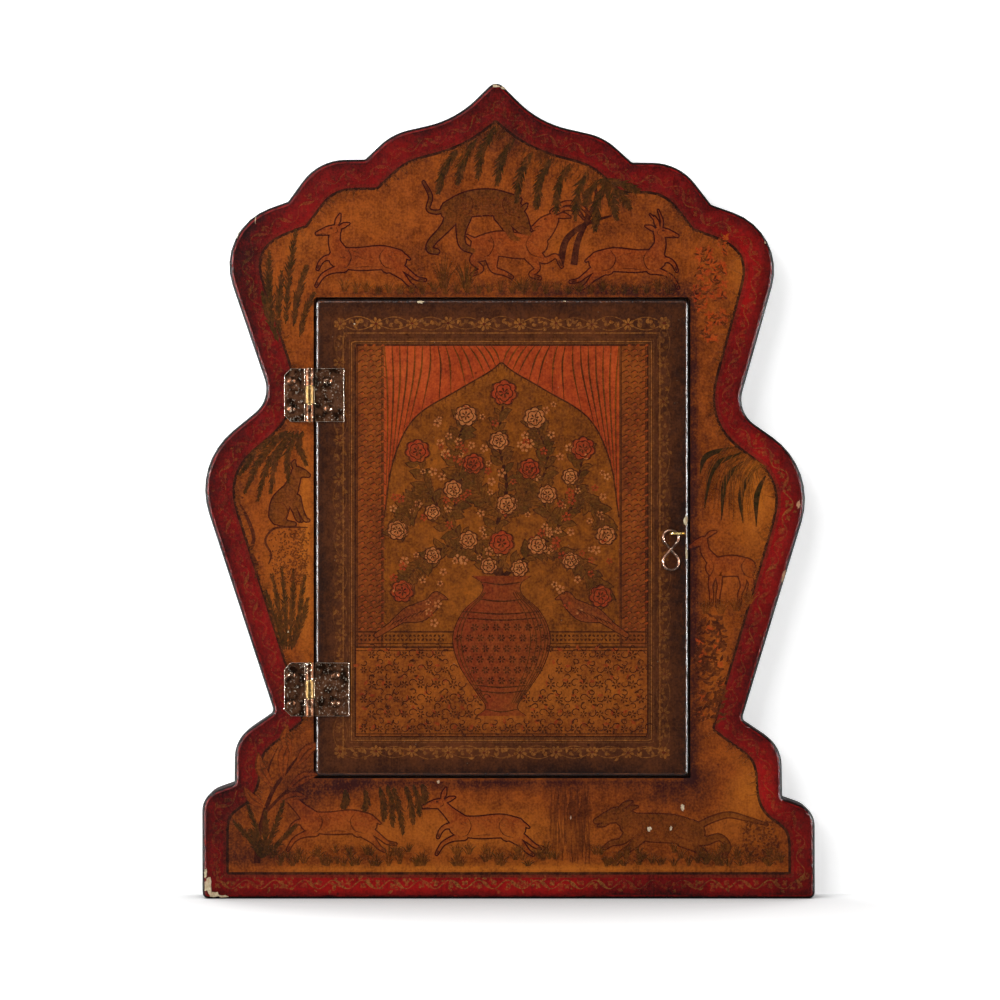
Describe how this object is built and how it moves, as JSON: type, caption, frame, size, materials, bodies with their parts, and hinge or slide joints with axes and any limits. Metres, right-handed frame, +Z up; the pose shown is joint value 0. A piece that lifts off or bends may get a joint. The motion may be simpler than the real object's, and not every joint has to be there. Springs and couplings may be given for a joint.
{
  "type": "persian lacquer mirror case",
  "caption": "Lacquered board with a cusped crest and stepped plinth, framing a looking glass behind a side-hung painted door on butt hinges with a wire pull link.",
  "frame": {"origin": "on the base, under the middle of the door, halfway through the board's thickness", "axes": "+X to the right, +Y to the back, +Z up"},
  "size_m": [0.2411, 0.0227, 0.3206],
  "materials": {
    "lacquered_board": "painted ochre field and crimson border under aged gloss lacquer",
    "lacquered_door": "painted dark brown border and ochre panel under aged gloss lacquer",
    "slip": "dark crimson lacquer",
    "mirror": "silvered glass",
    "card": "plain pasteboard",
    "back_panel": "plain aged wood",
    "hinge": "dark bronze patina",
    "iron": "dark worn iron",
    "brass_wire": "tarnished brass"
  },
  "bodies": {
    "case": {"face_board": "lacquered_board", "slip_top": "slip", "slip_bottom": "slip", "slip_left": "slip", "slip_right": "slip", "mirror_glass": "mirror", "mirror_card": "card", "back_panel": "back_panel", "back_panel_pins": "iron", "upper_hinge_frame_leaf": "hinge", "upper_hinge_frame_nails": "iron", "upper_hinge_pin": "hinge", "lower_hinge_frame_leaf": "hinge", "lower_hinge_frame_nails": "iron", "lower_hinge_pin": "hinge"},
    "door": {"door_panel": "lacquered_door", "upper_hinge_door_leaf": "hinge", "upper_hinge_door_nails": "iron", "lower_hinge_door_leaf": "hinge", "lower_hinge_door_nails": "iron", "pull_staple": "brass_wire"},
    "link": {"pull_link": "brass_wire"}
  },
  "joints": [
    {"name": "door_swing", "type": "hinge", "parent": "case", "child": "door", "pos_m": [-0.07555, -0.0111, 0.14], "axis": [0, 0, -1], "range_deg": [0, 165]},
    {"name": "link_swing", "type": "hinge", "parent": "door", "child": "link", "pos_m": [0.06625, -0.0113, 0.1437], "axis": [0, -1, 0], "range_deg": [-80, 50]}
  ]
}
